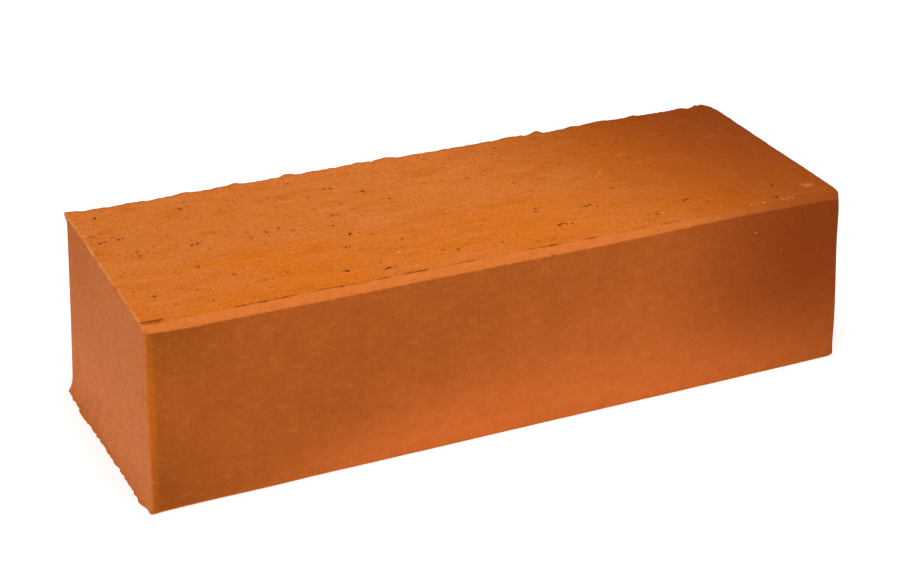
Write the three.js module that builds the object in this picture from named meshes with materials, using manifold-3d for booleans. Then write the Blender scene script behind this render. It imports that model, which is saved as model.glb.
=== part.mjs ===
import * as THREE from 'three';
import { mergeVertices } from 'three/addons/utils/BufferGeometryUtils.js';
import Module from 'manifold-3d';

// A solid slim-format clay facing brick, 250 x 85 x 65 mm, with no holes and no frog.
// Its four sides are smooth extruded faces; the top and bottom beds are wire-cut.
//
// Frame: millimetres. +X runs along the length, +Y from the front stretcher face to the
// back one, +Z up. The origin is the middle of the bottom bed.

// Brick format
const LENGTH = 250;
const WIDTH = 85;
const HEIGHT = 65;

// Radius of each upright corner, left by the extrusion die
const CORNER_RADIUS = { frontLeft: 1.8, frontRight: 3.2, backRight: 5.0, backLeft: 1.5 };
const CORNER_STEPS = 8;

// Smooth bevel pressed along the front top edge while the clay was soft
const BEVEL_WIDTH = 2.8;
const BEVEL_DROP = 2.0;

// Amount by which a cutter runs past the surface that it cuts
const OVERCUT = 4;

const FIRED_CLAY = { name: 'fired_clay', color: 0xc8691f, roughness: 0.9, metalness: 0.0 };

const manifold = await Module();
manifold.setup();

// A closed three.js geometry as a manifold solid
function toSolid(geometry) {
  const shell = geometry.clone();
  shell.deleteAttribute('normal');
  shell.deleteAttribute('uv');
  const merged = mergeVertices(shell);
  const mesh = new manifold.Mesh({
    numProp: 3,
    vertProperties: new Float32Array(merged.attributes.position.array),
    triVerts: new Uint32Array(merged.index.array),
  });
  return new manifold.Manifold(mesh);
}

// A manifold solid as a three.js geometry
function toGeometry(solid) {
  const mesh = solid.getMesh();
  const geometry = new THREE.BufferGeometry();
  geometry.setAttribute('position', new THREE.BufferAttribute(mesh.vertProperties, 3));
  geometry.setIndex(new THREE.BufferAttribute(mesh.triVerts, 1));
  geometry.computeVertexNormals();
  return geometry;
}

// The die's outline: a rectangle whose corners each have their own radius
function dieOutline() {
  const right = LENGTH / 2;
  const back = WIDTH / 2;
  const { frontLeft, frontRight, backRight, backLeft } = CORNER_RADIUS;
  const outline = new THREE.Shape();
  outline.moveTo(-right + frontLeft, -back);
  outline.lineTo(right - frontRight, -back);
  outline.absarc(right - frontRight, -back + frontRight, frontRight, -Math.PI / 2, 0);
  outline.lineTo(right, back - backRight);
  outline.absarc(right - backRight, back - backRight, backRight, 0, Math.PI / 2);
  outline.lineTo(-right + backLeft, back);
  outline.absarc(-right + backLeft, back - backLeft, backLeft, Math.PI / 2, Math.PI);
  outline.lineTo(-right, -back + frontLeft);
  outline.absarc(-right + frontLeft, -back + frontLeft, frontLeft, Math.PI, 1.5 * Math.PI);
  return outline;
}

// The clay column from the die, cut off at the brick's height
function clayColumn() {
  return new THREE.ExtrudeGeometry(dieOutline(), {
    depth: HEIGHT,
    bevelEnabled: false,
    curveSegments: CORNER_STEPS,
  });
}

// The space above the bevel: a wedge that runs past the brick on every side but the bevel's
function bevelCutter() {
  const slope = BEVEL_DROP / BEVEL_WIDTH;
  const section = new THREE.Shape();
  section.moveTo(-OVERCUT, -OVERCUT * slope - BEVEL_DROP);
  section.lineTo(BEVEL_WIDTH + OVERCUT, OVERCUT * slope);
  section.lineTo(-OVERCUT, OVERCUT * slope);
  const depth = LENGTH + 2 * OVERCUT;
  const wedge = new THREE.ExtrudeGeometry(section, { depth, bevelEnabled: false });
  // Section x becomes +Y, section y becomes +Z and the extrusion becomes +X.
  const place = new THREE.Matrix4().makeBasis(
    new THREE.Vector3(0, 1, 0),
    new THREE.Vector3(0, 0, 1),
    new THREE.Vector3(1, 0, 0),
  );
  place.setPosition(-LENGTH / 2 - OVERCUT, -WIDTH / 2, HEIGHT);
  wedge.applyMatrix4(place);
  return wedge;
}

function brickBody() {
  const solid = toSolid(clayColumn()).subtract(toSolid(bevelCutter()));
  const material = new THREE.MeshStandardMaterial(FIRED_CLAY);
  const mesh = new THREE.Mesh(toGeometry(solid), material);
  mesh.name = 'brick_body';
  return mesh;
}

const brick = new THREE.Group();
brick.name = 'clay_brick';
brick.add(brickBody());

export default brick;
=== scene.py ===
import math

import bmesh
import bpy
import numpy as np
from mathutils import Matrix, Vector
from mathutils.geometry import delaunay_2d_cdt


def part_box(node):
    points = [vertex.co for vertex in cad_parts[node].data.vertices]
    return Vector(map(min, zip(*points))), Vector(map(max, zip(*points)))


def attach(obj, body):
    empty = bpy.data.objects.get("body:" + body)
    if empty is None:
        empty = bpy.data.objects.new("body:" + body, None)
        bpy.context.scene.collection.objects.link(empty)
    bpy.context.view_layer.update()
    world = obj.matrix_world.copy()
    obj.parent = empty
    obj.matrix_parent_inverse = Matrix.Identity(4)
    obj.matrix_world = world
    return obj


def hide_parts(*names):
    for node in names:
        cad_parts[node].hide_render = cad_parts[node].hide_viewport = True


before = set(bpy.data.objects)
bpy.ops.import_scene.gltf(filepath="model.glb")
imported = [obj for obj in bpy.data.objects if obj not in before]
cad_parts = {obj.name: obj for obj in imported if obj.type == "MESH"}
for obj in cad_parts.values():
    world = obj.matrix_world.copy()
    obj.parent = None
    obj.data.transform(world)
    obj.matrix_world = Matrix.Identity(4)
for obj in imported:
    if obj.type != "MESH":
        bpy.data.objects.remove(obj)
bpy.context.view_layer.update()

# A solid slim-format clay facing brick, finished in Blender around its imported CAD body.
#
# The brick's surface is one closed mesh: the die's outline carried up to the beds, with extra points for
# pits, the crack and torn edges. One displacement field moves every point, so the sides and the beds
# stay joined. Lengths in the mesh code are millimetres; to_metres() changes them at the end.

MM = 0.001
# Points closer than this, in millimetres, count as one
TINY = 1e-6
# The triangulation's setting that keeps only what lies inside the outline
INSIDE_ONLY = 1
# Stored points closer than this, in metres, are merged
MERGE_DISTANCE = 1e-6
# The flat map: room round each side for its unevenness, and between the sides
MAP_MARGIN = 8
MAP_GAP = 4

# ---------- the brick's form, in millimetres

brick_low, brick_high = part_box("brick_body")
LENGTH, WIDTH, HEIGHT = [(b - a) / MM for a, b in zip(brick_low, brick_high)]
HALF_LENGTH = LENGTH / 2
HALF_WIDTH = WIDTH / 2

# Radius of each upright corner, as in the CAD body, and of the worn edges round the two beds
FRONT_LEFT_RADIUS = 1.8
FRONT_RIGHT_RADIUS = 3.2
BACK_RIGHT_RADIUS = 5.0
BACK_LEFT_RADIUS = 1.5
EDGE_RADIUS = 0.3

# The smooth bevel along the front top edge
BEVEL_WIDTH = 2.8
BEVEL_DROP = 2.0
# Where its lower edge stands higher: middle, reach and rise
BEVEL_RISES = ((-HALF_LENGTH, 8, 0.7), (85, 34, 0.9))
RISE_REACH_BACK = 1.6
RISE_REACH_DOWN = 2.5

# The crack that parts the bevel from the bed
CRACK_INSET = 0.3
CRACK_HALF_WIDTH = 0.4
CRACK_DEPTH = 0.5
# A closed stroke's share of the half width, and the share of it at full depth
STROKE_WIDTH = 0.6
STROKE_FLOOR = 0.25
# How open it is, and the extra where it gapes
CRACK_OPENING = 0.5
CRACK_GAPE = 0.28
# The gapes: middle and half length, and the share of it that is fully open
CRACK_GAPES = ((-120, 4), (-113, 3), (-87, 2), (-75.5, 2), (-34, 3.5), (13.5, 2), (27, 4), (45, 2))
GAPE_CORE = 0.4
# It grows thinner, and then closes, over these ranges
CRACK_THINS = (56, 74)
CRACK_THINNING = 0.55
CRACK_END = 112
CRACK_CLOSES = (CRACK_END, CRACK_END - 30)
# A second, shorter stroke beside it at the left end
SPLIT_END = -116
SPLIT_CLOSES = (SPLIT_END, SPLIT_END - 3)
SPLIT_GAP = 1.3
SPLIT_HALF_WIDTH = 0.5
SPLIT_OPENING = 0.85
SPLIT_WAVES = 0.3
# Chips knocked out of the bevel's outer edge: middle, length and depth
CHIPS = (
    (-108, 1.8, 0.4), (-80, 1.4, 0.3), (-65.5, 1.8, 0.45), (-36, 1.2, 0.3), (-15, 1.4, 0.35),
    (-3, 1.4, 0.3), (12.5, 2.4, 0.8), (15, 1.1, 0.4), (63, 1.2, 0.3), (73, 1.4, 0.3), (89, 1.6, 0.4),
    (100, 2.2, 0.4),
)
CHIP_FLOOR = 0.15

# Spacing of the mesh
SIDE_STEP = 1.15
LEFT_SIDE_STEP = 0.6
CORNER_STEP_DEGREES = 12
# Turns of an edge's rounding, in degrees, that have a row of points
EDGE_TURNS = (30, 60, 90)
SIDE_ROWS = 46
# 1 spreads the rows evenly, 0 crowds them towards the top and the foot
ROW_EVENNESS = 0.28
BED_STEP_ALONG = 1.9
BED_STEP_ACROSS = 0.6
BED_MARGIN = 2.0
UNDERSIDE_STEP = 2.6
UNDERSIDE_MARGIN = 2.5
# Rows of points inside a bed's rim and along the crack's two strokes
RIM_INSETS = (0.6, 1.0, 1.6)
CRACK_STEP = 0.5
CRACK_ROWS = (-0.55, -0.28, 0, 0.28, 0.55)
SPLIT_ROWS = (-0.45, -0.2, 0, 0.2, 0.45)
CRACK_POINTS_START = -HALF_LENGTH + 1.4
# Rings of points in a pit, as shares of its radius, and the points on each
PIT_RINGS = (0.0, 0.45, 0.8, 1.15)
PIT_RING_POINTS = 9
# Least distances between points
PIT_POINT_GAP = 0.09
RIM_GAP = 0.3
BED_GAP = 0.32
UNDERSIDE_GAP = 0.8

# The sides: waves of two sizes and streaks left by the die, as depth, patch length and height
SIDE_NOISES = ((0.168, 60, 45), (0.112, 22, 30), (0.05, 1.6, 34))
# How far out each end stands at its top and at its foot
LEFT_LEAN_FRONT = (0.5, 0.8)
LEFT_LEAN_BACK = (-0.8, 0.8)
RIGHT_LEAN = (0.3, 3.6)
# The right end also flares out over this range of height
RIGHT_FLARE = 1.5
RIGHT_FLARES = (50, 10)

# Torn lips: how far they stand out and how far up or down the side they reach
LEFT_FOOT_LIP = 1.5
OTHER_FOOT_LIP = 0.35
LIP_WAVES = 0.14
LIP_WAVE_LENGTH = 11
LIP_REACH = 2.2
LIP_STEEPNESS = 1.4
# The left foot's lip starts at the front, fills out towards the back and shrinks at the corner
LEFT_LIP_STARTS = (-HALF_WIDTH, -HALF_WIDTH + 9)
LEFT_LIP_FILLS = (-5, 22)
LEFT_LIP_FULLER = 0.55
LEFT_LIP_ENDS = (HALF_WIDTH, HALF_WIDTH - 5)
LEFT_LIP_LEFT_OVER = 0.35
FRONT_FOOT_REACH = 9
LEFT_TOP_LIP = 0.16
LEFT_TOP_TEETH = 0.14
LEFT_TOP_REACH = 0.9
TOP_LIP_REACH = 0.7
FRONT_TOP_LIP = 0.28
FRONT_TOP_TEETH = (0.6, 0.5)
FRONT_TOP_REACH = 0.5
FRONT_RIM_REACH = 0.6
TOOTH_DEPTH = 0.3
TOOTH_LENGTH = 3.4
LEFT_TOOTH_LENGTH = 2.0
TEETH_FADE = (1.8, 0.2)
# Smaller teeth on the large ones: how many times shorter, and their share of the depth
FINE_TEETH_SHORTER = 2.4
FINE_TEETH_SHARE = 0.5
EDGE_REACH = 6.0
# Corners drawn out, or pushed in: right or left, back or front, height, length and reach
CORNER_TIPS = ((-1, 1, 65, 0.9, 1.7), (-1, -1, 0, 0.9, 1.7), (1, -1, 65, -0.5, 4))
TIP_SHARE_ACROSS = 0.5

# The beds: how much of their relief the bevel has, and the rounded right-hand end
BEVEL_TO_BED = (BEVEL_WIDTH - 0.4, BEVEL_WIDTH + 0.8)
HOLLOWS_ON_BEVEL = 0.4
GRAIN_ON_BEVEL = 0.15
RIGHT_END_DROP = 0.5
RIGHT_END_ROUNDS = (3.0, 0)
FRONT_RIGHT_DROP = 0.6
FRONT_RIGHT_REACH = 4
# The underside: drag lines, and scoops torn out of it away from its outline
DRAG_DEPTH = 0.06
SCOOP_DEPTH = 0.5
SCOOP_RANGE = (0.35, 0.9)
SCOOP_MARGIN = (1, 7)
FLAT_FOOT_REACH = 2.0

# Lumps torn up along the back top edge: middle, half length and height
BACK_LUMPS = (
    (-121, 6, 0.45), (-100, 5, 0.2), (-82, 5, 0.5), (-65, 4, 0.35), (-45, 3.5, 0.6), (-18, 4, 0.15),
    (-8, 5, 0.4), (19, 3, 0.12), (30, 4, 0.1), (42, 6, 0.25), (51, 3.5, 0.7), (66, 3, 0.25),
    (78, 10, 0.35), (91, 3, 0.5), (112, 3, 0.4), (120, 4, 0.6),
)
# Each lump leans along the wire's path; between them is a low torn ridge
LUMP_LEAN = 0.25
LUMP_PEAK = 0.1
LUMP_TEETH = 0.35
RIDGE_HEIGHT = 0.4
RIDGE_TEETH = 0.12
RIDGE_SPECKS = 0.1
RIDGE_ENDS = (HALF_LENGTH + 1, HALF_LENGTH - 4)
LUMP_REACH = 1.3
LUMP_OVERHANG = 0.7

# The larger open tears in the top bed: middle along, middle across, length and width
TEARS = (
    (-121.5, 23.5, 2.6, 1.3), (-119, 18.5, 3.2, 0.8), (-115, 20.5, 1.8, 0.8), (-113, 18.5, 3.0, 1.4),
    (-115, -23, 2.0, 1.0), (-108.5, 6.5, 1.2, 1.0), (-92, 6, 4.0, 1.0), (-88.5, 33, 2.6, 1.2),
    (-88.5, -18.5, 1.2, 1.0), (-85, 37.5, 1.2, 1.0), (-73.5, -24, 3.0, 0.9), (-68, 5, 1.5, 0.9),
    (-63.5, 6.5, 1.0, 0.9), (-59.5, 3, 1.3, 1.0), (-55, -30.5, 2.4, 0.8), (-48, -14.5, 2.0, 1.0),
    (-43.5, -6, 1.4, 0.9), (-42.5, 8.5, 2.4, 0.9), (-42, -34, 5.0, 1.0), (-38, 15, 1.0, 1.0),
    (-37, 28.5, 2.2, 0.9), (-30, -16.5, 1.2, 1.0), (-28, 22, 3.0, 0.7), (-21.5, 13, 1.8, 0.8),
    (-21, -29, 1.2, 1.0), (-16, -30, 1.2, 0.9), (2, 19, 1.0, 0.9), (10, 18, 1.8, 0.9),
    (21, -12.5, 2.4, 0.8), (24, 8.5, 2.0, 0.9), (24, -26.5, 2.4, 0.9), (38, -17.5, 3.8, 0.8),
    (31.5, 37, 1.6, 1.0), (47.5, 39, 2.2, 1.6), (57, -32, 1.6, 0.9), (72, -26, 1.9, 1.0),
    (101, -36, 3.0, 0.8), (105, -28, 1.3, 1.0), (114, 5.5, 2.0, 0.9),
)
# Faint pale smears left by the wire: middle along, middle across, length and width
SMEARS = (
    (-79, 14.5, 13, 1.6), (-116, -12, 10, 1.2), (-90.5, 34, 5, 1.6), (-60, -7, 16, 1.4),
    (66.5, -4, 8, 1.2), (70.5, 15, 7, 2.0), (70, 27, 6, 1.4), (-5, 24, 12, 3.0), (14, 26, 6, 5.0),
    (108, 17, 6, 1.6), (-33, -2, 14, 1.2), (44, 6, 12, 1.6), (117, -32.5, 6, 4.5),
    (119.5, -37, 7, 1.8), (104, -39, 5, 1.2), (92, -38.8, 4, 1.0),
)
# A tear is a row of small pits that run into one another
PIT_SEED = 11
TEAR_STEP = 0.5
TEAR_SPREAD = 0.4
TEAR_PIT_LENGTH = (0.45, 1.0)
TEAR_PIT_WIDTH = (0.38, 0.65)
TEAR_PIT_DEPTH = (0.3, 0.8)
# Small single pits, which crowd a little towards the left
SMALL_PITS = 150
SMALL_PIT_CROWDING = 1.25
SMALL_PIT_SPAN = 0.97
SMALL_PIT_MARGIN = 2
SMALL_PIT_LENGTH = (0.45, 1.0)
SMALL_PIT_WIDTH = (0.35, 0.65)
SMALL_PIT_DEPTH = (0.15, 0.42)
# How a smear and the scar round a tear fade out, and how solid they are
SMEAR_FADE = (1.15, 0.2)
SMEAR_SOLID = 0.55
SCAR_FADE = (1.2, 0.3)
SCAR_SOLID = 0.6
SCAR_LENGTHS = 0.8
SCAR_WIDTHS = 0.9
# How ragged a pit's wall is, and the shares of its radius between which it falls
PIT_RAGGEDNESS = 0.4
PIT_WALL = (1.15, 0.45)

# Pale grains of sand left in the surface: the middle and size of each patch, and how many
GRAIN_SEED = 23
GRAIN_PATCHES = (
    (117, -32.5, 4, 5, 8), (104, -38.8, 5, 1.2, 4), (92, -38.8, 6, 1.2, 5), (72, -26, 3, 1.5, 2),
    (79, -29, 2, 1, 2), (58, -31.5, 4, 4, 4), (-40, -38.5, 40, 1.2, 7), (-75, -38.5, 30, 1.2, 4),
    (60, -37, 40, 2, 3), (-30, -10, 90, 30, 12), (60, 0, 60, 36, 8),
)
GRAIN_MARGIN = 0.6
# Crumbs along the left top edge: the shares of the width they span, and how far in and down
EDGE_CRUMBS = 55
CRUMB_SPAN = (-0.93, 0.9)
CRUMB_SPREAD = 0.45
CRUMB_DROP = 0.25
# Grains on the front: the shares of its half length and of its height that they span
FRONT_GRAINS = 40
FRONT_GRAIN_SPAN = (-0.96, 0.96)
FRONT_GRAIN_HEIGHTS = (0.04, 0.95)
FRONT_GRAIN_SCALE = 0.7
# A grain's radius, between the smallest and the largest; small ones are the most common
GRAIN_RADIUS = (0.1, 0.42)
GRAIN_RARITY = 3.0
# How a round grain is stretched and flattened, and how far it turns, in radians
GRAIN_STRETCH_ALONG = (0.9, 2.2)
GRAIN_STRETCH_ACROSS = (0.7, 1.1)
GRAIN_FLATNESS = 0.7
GRAIN_TURN = 0.5

# Noise fields of the mesh: patch size along, patch size across, and a seed of its own
PIT_WALLS = (0.5, 0.4, 31)
SCAR_EDGES = (1.6, 0.5, 33)
SMEAR_EDGES = (4, 0.6, 34)
SPLIT_WIDTHS = (2.2, 1, 45)
RIDGE_GRAIN = (0.9, 1, 53)
UNDERSIDE_DRAG = (22, 3.2, 71)
UNDERSIDE_SCOOPS = (9, 4, 72)
DULL_EDGE = (30, 12, 81)
# Noises added together: depth, patch size along and across, and seed
CRACK_PATH = ((0.35, 13, 1, 41), (0.12, 3, 1, 42))
CRACK_WIDTHS = ((0.3, 9, 1, 43), (0.3, 1.9, 1, 44))
HOLLOWS = ((0.16, 70, 38, 61), (0.08, 24, 16, 62))
DRAG_LINES = ((0.06, 26, 2.6, 63), (0.036, 11, 1.3, 64))
BED_GRAIN = ((0.05, 2.2, 0.8, 65), (0.05, 5, 3, 67))

# Seeds of the torn edges, and of the four sides, whose feet take the third seed after theirs
LUMP_SEED = 51
RIDGE_SEED = 52
LEFT_TEETH_SEED = 66
WORN_SEED = 82
LEFT_LIP_SEED = 107
FRONT_LIP_SEED = 127
LEFT_SEED = 101
RIGHT_SEED = 111
FRONT_SEED = 121
BACK_SEED = 131
FOOT_SEED_STEP = 3

# ---------- where the colours lie

# Each row is a measure of a place and the range of it, in millimetres, over which a colour grows
# from nothing to full; a colour is full only where all of its rows are.
CHIP_EDGE = (("from_front", 0.7, 0.1), ("below_top", 0.7, 0.1))
# Painted shade at the left of the front, low by the foot and high up
LOW_LEFT_CORNER = (("z", 40, 3), ("x", -98, -124))
HIGH_LEFT_CORNER = (("z", 38, 66), ("x", -85, -122))
LEFT_ARRIS = (("from_left", 3.2, 1.6),)
LEFT_FOOT = (("z", 1.6, 0.5), ("from_left", 1.0, 0.2))
# Painted bounce light along the front's foot
FRONT_FOOT = (("z", 1.0, 0.3),)
# Painted bounce light low on the front
GLOW_BELOW = (("z", 60, 15),)
GLOW_AT_FOOT = (("z", 32, 2),)
GLOW_ALONG = (("x", 150, 88),)
# Painted shade high up on the left end
SHADE_UP = (("z", 15, HEIGHT),)
SHADE_ACROSS = (("y", -20, HALF_WIDTH),)
# Painted shade on the right of the front, where the light falls off, growing upwards
RIGHT_SHADE_ON_FRONT = (("x", 42, 112), ("z", -25, 46))
BEVEL_ALONG = (("x", HALF_LENGTH - 15, HALF_LENGTH - 65),)
DULL_ALONG = (("x", 80, 10),)
UNDERSIDE = (("z", 0.6, 0.05),)
# The surfaces of the brick, as ranges of the distance from its top, bevel, ends and front
TOP_SURFACE = (0.35, 0.1)
BED_SURFACE = (BEVEL_WIDTH - 0.1, BEVEL_WIDTH + 0.4)
END_SURFACE = (1.2, 0.2)
FRONT_SURFACE = (1.0, 0.2)
# Painted shade in the pits, the crack and the chips: depths at which a pit and the crack are at their
# darkest, and how dark a chip is
DARK_PIT_DEPTH = 0.28
DARK_CRACK_DEPTH = 0.45
CHIP_DARKNESS = 0.6
# Shares of the weaker of two colours that meet
# Painted shade in the front's left corners: its share high up, and how much of the arris's orange it hides
HIGH_CORNER_SHARE = 0.9
ARRIS_LOST_IN_SHADE = 0.6
# Share of the painted bounce light along the front's foot
FRONT_FOOT_SHARE = 0.6
# Share of the left end's painted shade at its front
SHADE_AT_FRONT = 0.35
# The painted bounce light low on the front: its share everywhere, below and at the foot
GLOW_SHARES = (0.1, 0.3, 0.6)
# It starts along a slanting line: where at the foot, how much later higher up, and how slowly
GLOW_START = -112
GLOW_SLANT = 1.6
GLOW_WIDTH = 67
GLOW_WIDENING = 0.6
# Painted shade at the right, where the light falls off, partly the clay's own darker colour there: it starts
# further left, and is stronger, at the back of the bed
RIGHT_SHADE_START = 6
RIGHT_SHADE_SLANT = 0.58
RIGHT_SHADE_FULL = HALF_LENGTH + 5
RIGHT_SHADE_MORE_AT_BACK = 0.14
RIGHT_SHADE_LESS_ON_BEVEL = 0.25
RIGHT_SHADE_LESS_ON_END = 0.45
# The duller back half of the bed begins over this range, behind a wavering line
DULL_ACROSS = (-9, -1)
DULL_WAVER = 3
WORN_REACH = 0.45
WORN_SHARES = (0.55, 0.45)
# Reach of the painted shade along the back and right top edges
RIM_REACH = 0.7
# How much of the clay's grain shows on the skin, and how much more on the beds and on the ends
GRAIN_SHARES = (0.3, 0.45, 0.6)
# Less grain shows under the painted shade at the right
GRAIN_LESS_IN_RIGHT_SHADE = 0.35

# ---------- repeatable noise


def fade(t):
    """The smooth step from 0 to 1 that joins one noise cell to the next."""
    return t * t * (3 - 2 * t)


def ramp(start, end, value):
    """0 before start, 1 after end, and smooth between; start may be the larger."""
    return fade(np.clip((value - start) / (end - start), 0, 1))


def cell_value(i, j, seed):
    """A fixed number from -1 to 1 for each whole-number cell."""
    mask = 0xFFFFFFFF
    h = (i.astype(np.int64) * 374761393 + j.astype(np.int64) * 668265263 + seed * 974634777) & mask
    h = ((h ^ (h >> 13)) * 1274126177) & mask
    h = h ^ (h >> 16)
    return h / 2.0**31 - 1.0


def noise(x, y, size_x, size_y, seed):
    """Smooth noise from -1 to 1 whose patches are size_x by size_y millimetres."""
    u, v = np.broadcast_arrays(np.asarray(x, float) / size_x, np.asarray(y, float) / size_y)
    i, j = np.floor(u), np.floor(v)
    a, b = fade(u - i), fade(v - j)
    low = cell_value(i, j, seed) * (1 - a) + cell_value(i + 1, j, seed) * a
    high = cell_value(i, j + 1, seed) * (1 - a) + cell_value(i + 1, j + 1, seed) * a
    return low * (1 - b) + high * b


def layered_noise(x, y, layers):
    """Several noises added together, each with a depth of its own."""
    total = 0.0
    for depth, size_x, size_y, seed in layers:
        total += depth * noise(x, y, size_x, size_y, seed)
    return total


def ragged(along, seed, length=TOOTH_LENGTH):
    """A torn edge's outline: teeth a few millimetres long with smaller ones on them."""
    fine_length = length / FINE_TEETH_SHORTER
    return layered_noise(along, 0, ((1, length, 1, seed), (FINE_TEETH_SHARE, fine_length, 1, seed + 1)))


# ---------- pits, crack and lumps


def all_pits():
    """Every pit in the top bed as rows of x, y, half length, half width and depth."""
    rng = np.random.default_rng(PIT_SEED)

    def pit(x, y, length, width, depth):
        return x, y, rng.uniform(*length) / 2, rng.uniform(*width) / 2, rng.uniform(*depth)

    pits = []
    for x, y, length, width in TEARS:
        for _ in range(round(length / TEAR_STEP)):
            along = x + length * rng.uniform(-0.5, 0.5)
            across = y + width * rng.uniform(-TEAR_SPREAD, TEAR_SPREAD)
            pits.append(pit(along, across, TEAR_PIT_LENGTH, TEAR_PIT_WIDTH, TEAR_PIT_DEPTH))
    front = -HALF_WIDTH + BEVEL_WIDTH + SMALL_PIT_MARGIN
    for _ in range(SMALL_PITS):
        along = HALF_LENGTH * (2 * rng.random() ** SMALL_PIT_CROWDING - 1) * SMALL_PIT_SPAN
        across = rng.uniform(front, HALF_WIDTH - SMALL_PIT_MARGIN)
        pits.append(pit(along, across, SMALL_PIT_LENGTH, SMALL_PIT_WIDTH, SMALL_PIT_DEPTH))
    return np.array(pits)


PITS = all_pits()


def pit_depth(x, y):
    """Depth of the pits at each point of the top bed."""
    depth = np.zeros(x.shape)
    rough = 1 + PIT_RAGGEDNESS * noise(x, y, *PIT_WALLS)
    for px, py, a, b, deep in PITS:
        radius = np.hypot((x - px) / a, (y - py) / b) * rough
        depth = np.maximum(depth, deep * ramp(*PIT_WALL, radius))
    return depth


def smear_share(x, y):
    """Where the bed is smeared paler: ragged streaks along the wire's path."""
    share = np.zeros(x.shape)
    for sx, sy, length, width in SMEARS:
        radius = np.hypot((x - sx) / (length / 2), (y - sy) / (width / 2))
        share = np.maximum(share, ramp(*SMEAR_FADE, radius))
    return share * (SMEAR_SOLID + (1 - SMEAR_SOLID) * noise(x, y, *SMEAR_EDGES))


def scar_share(x, y):
    """Where the wire dragged the clay round a tear."""
    share = np.zeros(x.shape)
    for tx, ty, length, width in TEARS:
        radius = np.hypot((x - tx) / (SCAR_LENGTHS * length), (y - ty) / (SCAR_WIDTHS * width))
        share = np.maximum(share, ramp(*SCAR_FADE, radius))
    return share * (SCAR_SOLID + (1 - SCAR_SOLID) * noise(x, y, *SCAR_EDGES))


def crack_line(x):
    """Where the crack runs across the brick, at each place along it."""
    return -HALF_WIDTH + BEVEL_WIDTH + CRACK_INSET + layered_noise(x, 0, CRACK_PATH)


def crack_opening(x):
    """How open the crack is along the brick, from 0 to 1."""
    opening = CRACK_OPENING + layered_noise(x, 0, CRACK_WIDTHS)
    for middle, half in CRACK_GAPES:
        opening += CRACK_GAPE * ramp(half, half * GAPE_CORE, np.abs(x - middle))
    thinner = 1 - CRACK_THINNING * ramp(*CRACK_THINS, x)
    return np.clip(opening, 0, 1) * thinner * ramp(*CRACK_CLOSES, x)


def split_opening(x):
    """How open the second stroke is: widest at its left end."""
    return ramp(*SPLIT_CLOSES, x) * (SPLIT_OPENING + SPLIT_WAVES * noise(x, 0, *SPLIT_WIDTHS))


def stroke_depth(off, opening, half_width):
    """Depth of one stroke of the crack; an open one is also wider."""
    half = half_width * STROKE_WIDTH * (1 + opening)
    return CRACK_DEPTH * opening * ramp(half, half * STROKE_FLOOR, np.abs(off))


def crack_depth(x, y):
    """Depth of the crack between the bevel and the bed."""
    off = y - crack_line(x)
    main = stroke_depth(off, crack_opening(x), CRACK_HALF_WIDTH)
    return np.maximum(main, stroke_depth(off - SPLIT_GAP, split_opening(x), SPLIT_HALF_WIDTH))


def chip_depth(x):
    """Depth of the chips in the bevel's outer edge."""
    depth = np.zeros(x.shape)
    for middle, length, deep in CHIPS:
        depth = np.maximum(depth, deep * ramp(length / 2, length * CHIP_FLOOR, np.abs(x - middle)))
    return depth


def lump_height(x):
    """Height of the torn lumps and the ridge along the back top edge."""
    height = 0.0
    for middle, half, top in BACK_LUMPS:
        height += top * ramp(half, half * LUMP_PEAK, np.abs(x - middle + LUMP_LEAN * half))
    height = height * (1 + LUMP_TEETH * ragged(x, LUMP_SEED)) + RIDGE_HEIGHT
    height += RIDGE_TEETH * ragged(x, RIDGE_SEED)
    height += RIDGE_SPECKS * noise(x, 0, *RIDGE_GRAIN)
    return height * ramp(*RIDGE_ENDS, x)


# ---------- the displacement field


def bevelled_top(y):
    """Height of the top bed and its bevel before any displacement."""
    return HEIGHT - BEVEL_DROP * np.clip(1 - (y + HALF_WIDTH) / BEVEL_WIDTH, 0, 1)


def near_edge(distance, reach=EDGE_REACH):
    """1 on an edge, falling smoothly to 0 some way in from it."""
    return np.exp(-((np.maximum(distance, 0) / reach) ** 2))


def within(at, ranges):
    """1 where a place is past all of the ranges, 0 where it hasn't reached one of them."""
    share = 1.0
    for measure, start, end in ranges:
        share = share * ramp(start, end, getattr(at, measure))
    return share


class Place:
    """How far points of the plain brick are from each edge, and on which surface."""

    def __init__(self, plain):
        self.x, self.y, self.z = plain.T
        self.from_left = self.x + HALF_LENGTH
        self.from_right = HALF_LENGTH - self.x
        self.from_front = self.y + HALF_WIDTH
        self.from_back = HALF_WIDTH - self.y
        self.below_top = bevelled_top(self.y) - self.z
        self.on_top = ramp(*TOP_SURFACE, self.below_top)
        self.on_bed = ramp(*BED_SURFACE, self.from_front)
        self.on_left = ramp(*END_SURFACE, self.from_left)
        self.on_end = np.maximum(self.on_left, ramp(*END_SURFACE, self.from_right)) * (1 - self.on_top)
        self.on_front = ramp(*FRONT_SURFACE, self.from_front) * (1 - self.on_top)
        self.on_bevel = self.on_top * (1 - self.on_bed)


def side_relief(along, z, seed):
    """How far a smooth extruded side stands out of its plane."""
    return layered_noise(along, z, [(*row, seed + number) for number, row in enumerate(SIDE_NOISES)])


def foot_lip(along, z, size, seed, tooth_length=TOOTH_LENGTH):
    """The torn lip that stands out at the foot of a side, from that side's seed."""
    seed = seed + FOOT_SEED_STEP
    waves = 1 + LIP_WAVES * noise(along, 0, LIP_WAVE_LENGTH, 1, seed)
    lip = size * waves * np.exp(-((z / LIP_REACH) ** LIP_STEEPNESS))
    teeth = TOOTH_DEPTH * np.minimum(1, size) * ragged(along, seed + 1, tooth_length)
    return lip + teeth * ramp(*TEETH_FADE, z)


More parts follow.
